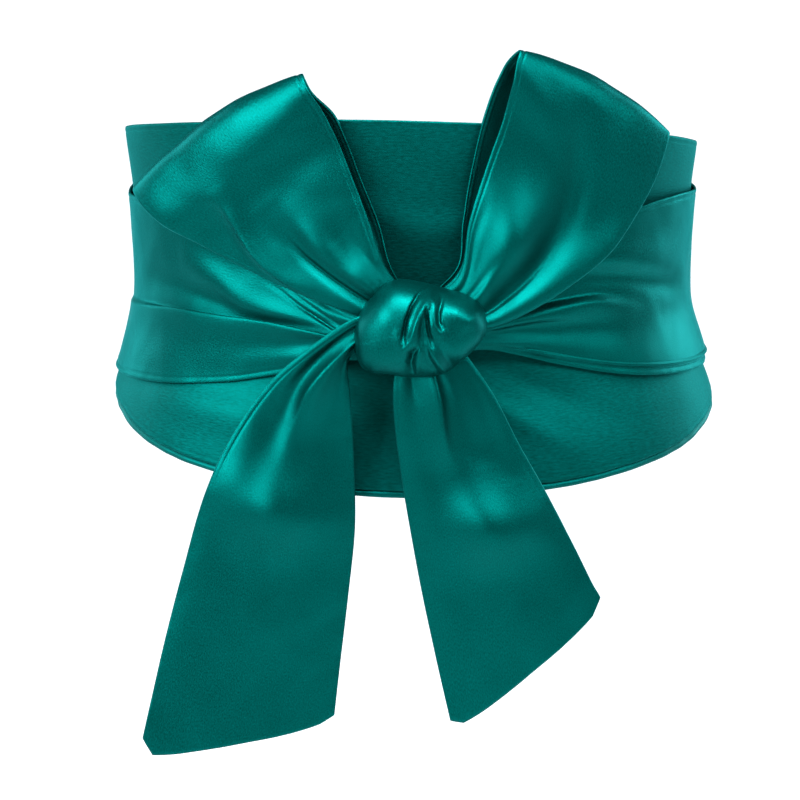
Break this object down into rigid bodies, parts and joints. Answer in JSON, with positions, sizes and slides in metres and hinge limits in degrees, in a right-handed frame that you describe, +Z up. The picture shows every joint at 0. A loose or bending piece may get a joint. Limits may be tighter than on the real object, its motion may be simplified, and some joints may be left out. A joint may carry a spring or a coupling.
{
  "type": "satin obi sash",
  "caption": "Wide satin waist sash in its worn shape: a lens-shaped front panel, flat tie ends wound round over it, and a knot with a bow and hanging slant-cut tails.",
  "frame": {"origin": "centre of the waist at the height of its narrowest ring, where the wearer's waist holds the sash", "axes": "+Z up the wearer's body, -Y the way the wearer and the bow face, +X to the viewer's right in the picture"},
  "size_m": [0.2718, 0.2431, 0.3117],
  "materials": {
    "panel_satin": "teal green satin with a fine grain, soft shine",
    "tie_satin": "teal green satin, smooth with a clear shine",
    "lining_satin": "teal green lining satin, soft shine"
  },
  "bodies": {
    "root": {"obi_panel": "panel_satin", "lining_edge": "lining_satin", "right_wrap": "tie_satin", "left_wrap": "tie_satin", "left_loop": "tie_satin", "right_loop": "tie_satin", "left_tail": "tie_satin", "right_tail": "tie_satin", "knot": "tie_satin"}
  },
  "joints": []
}
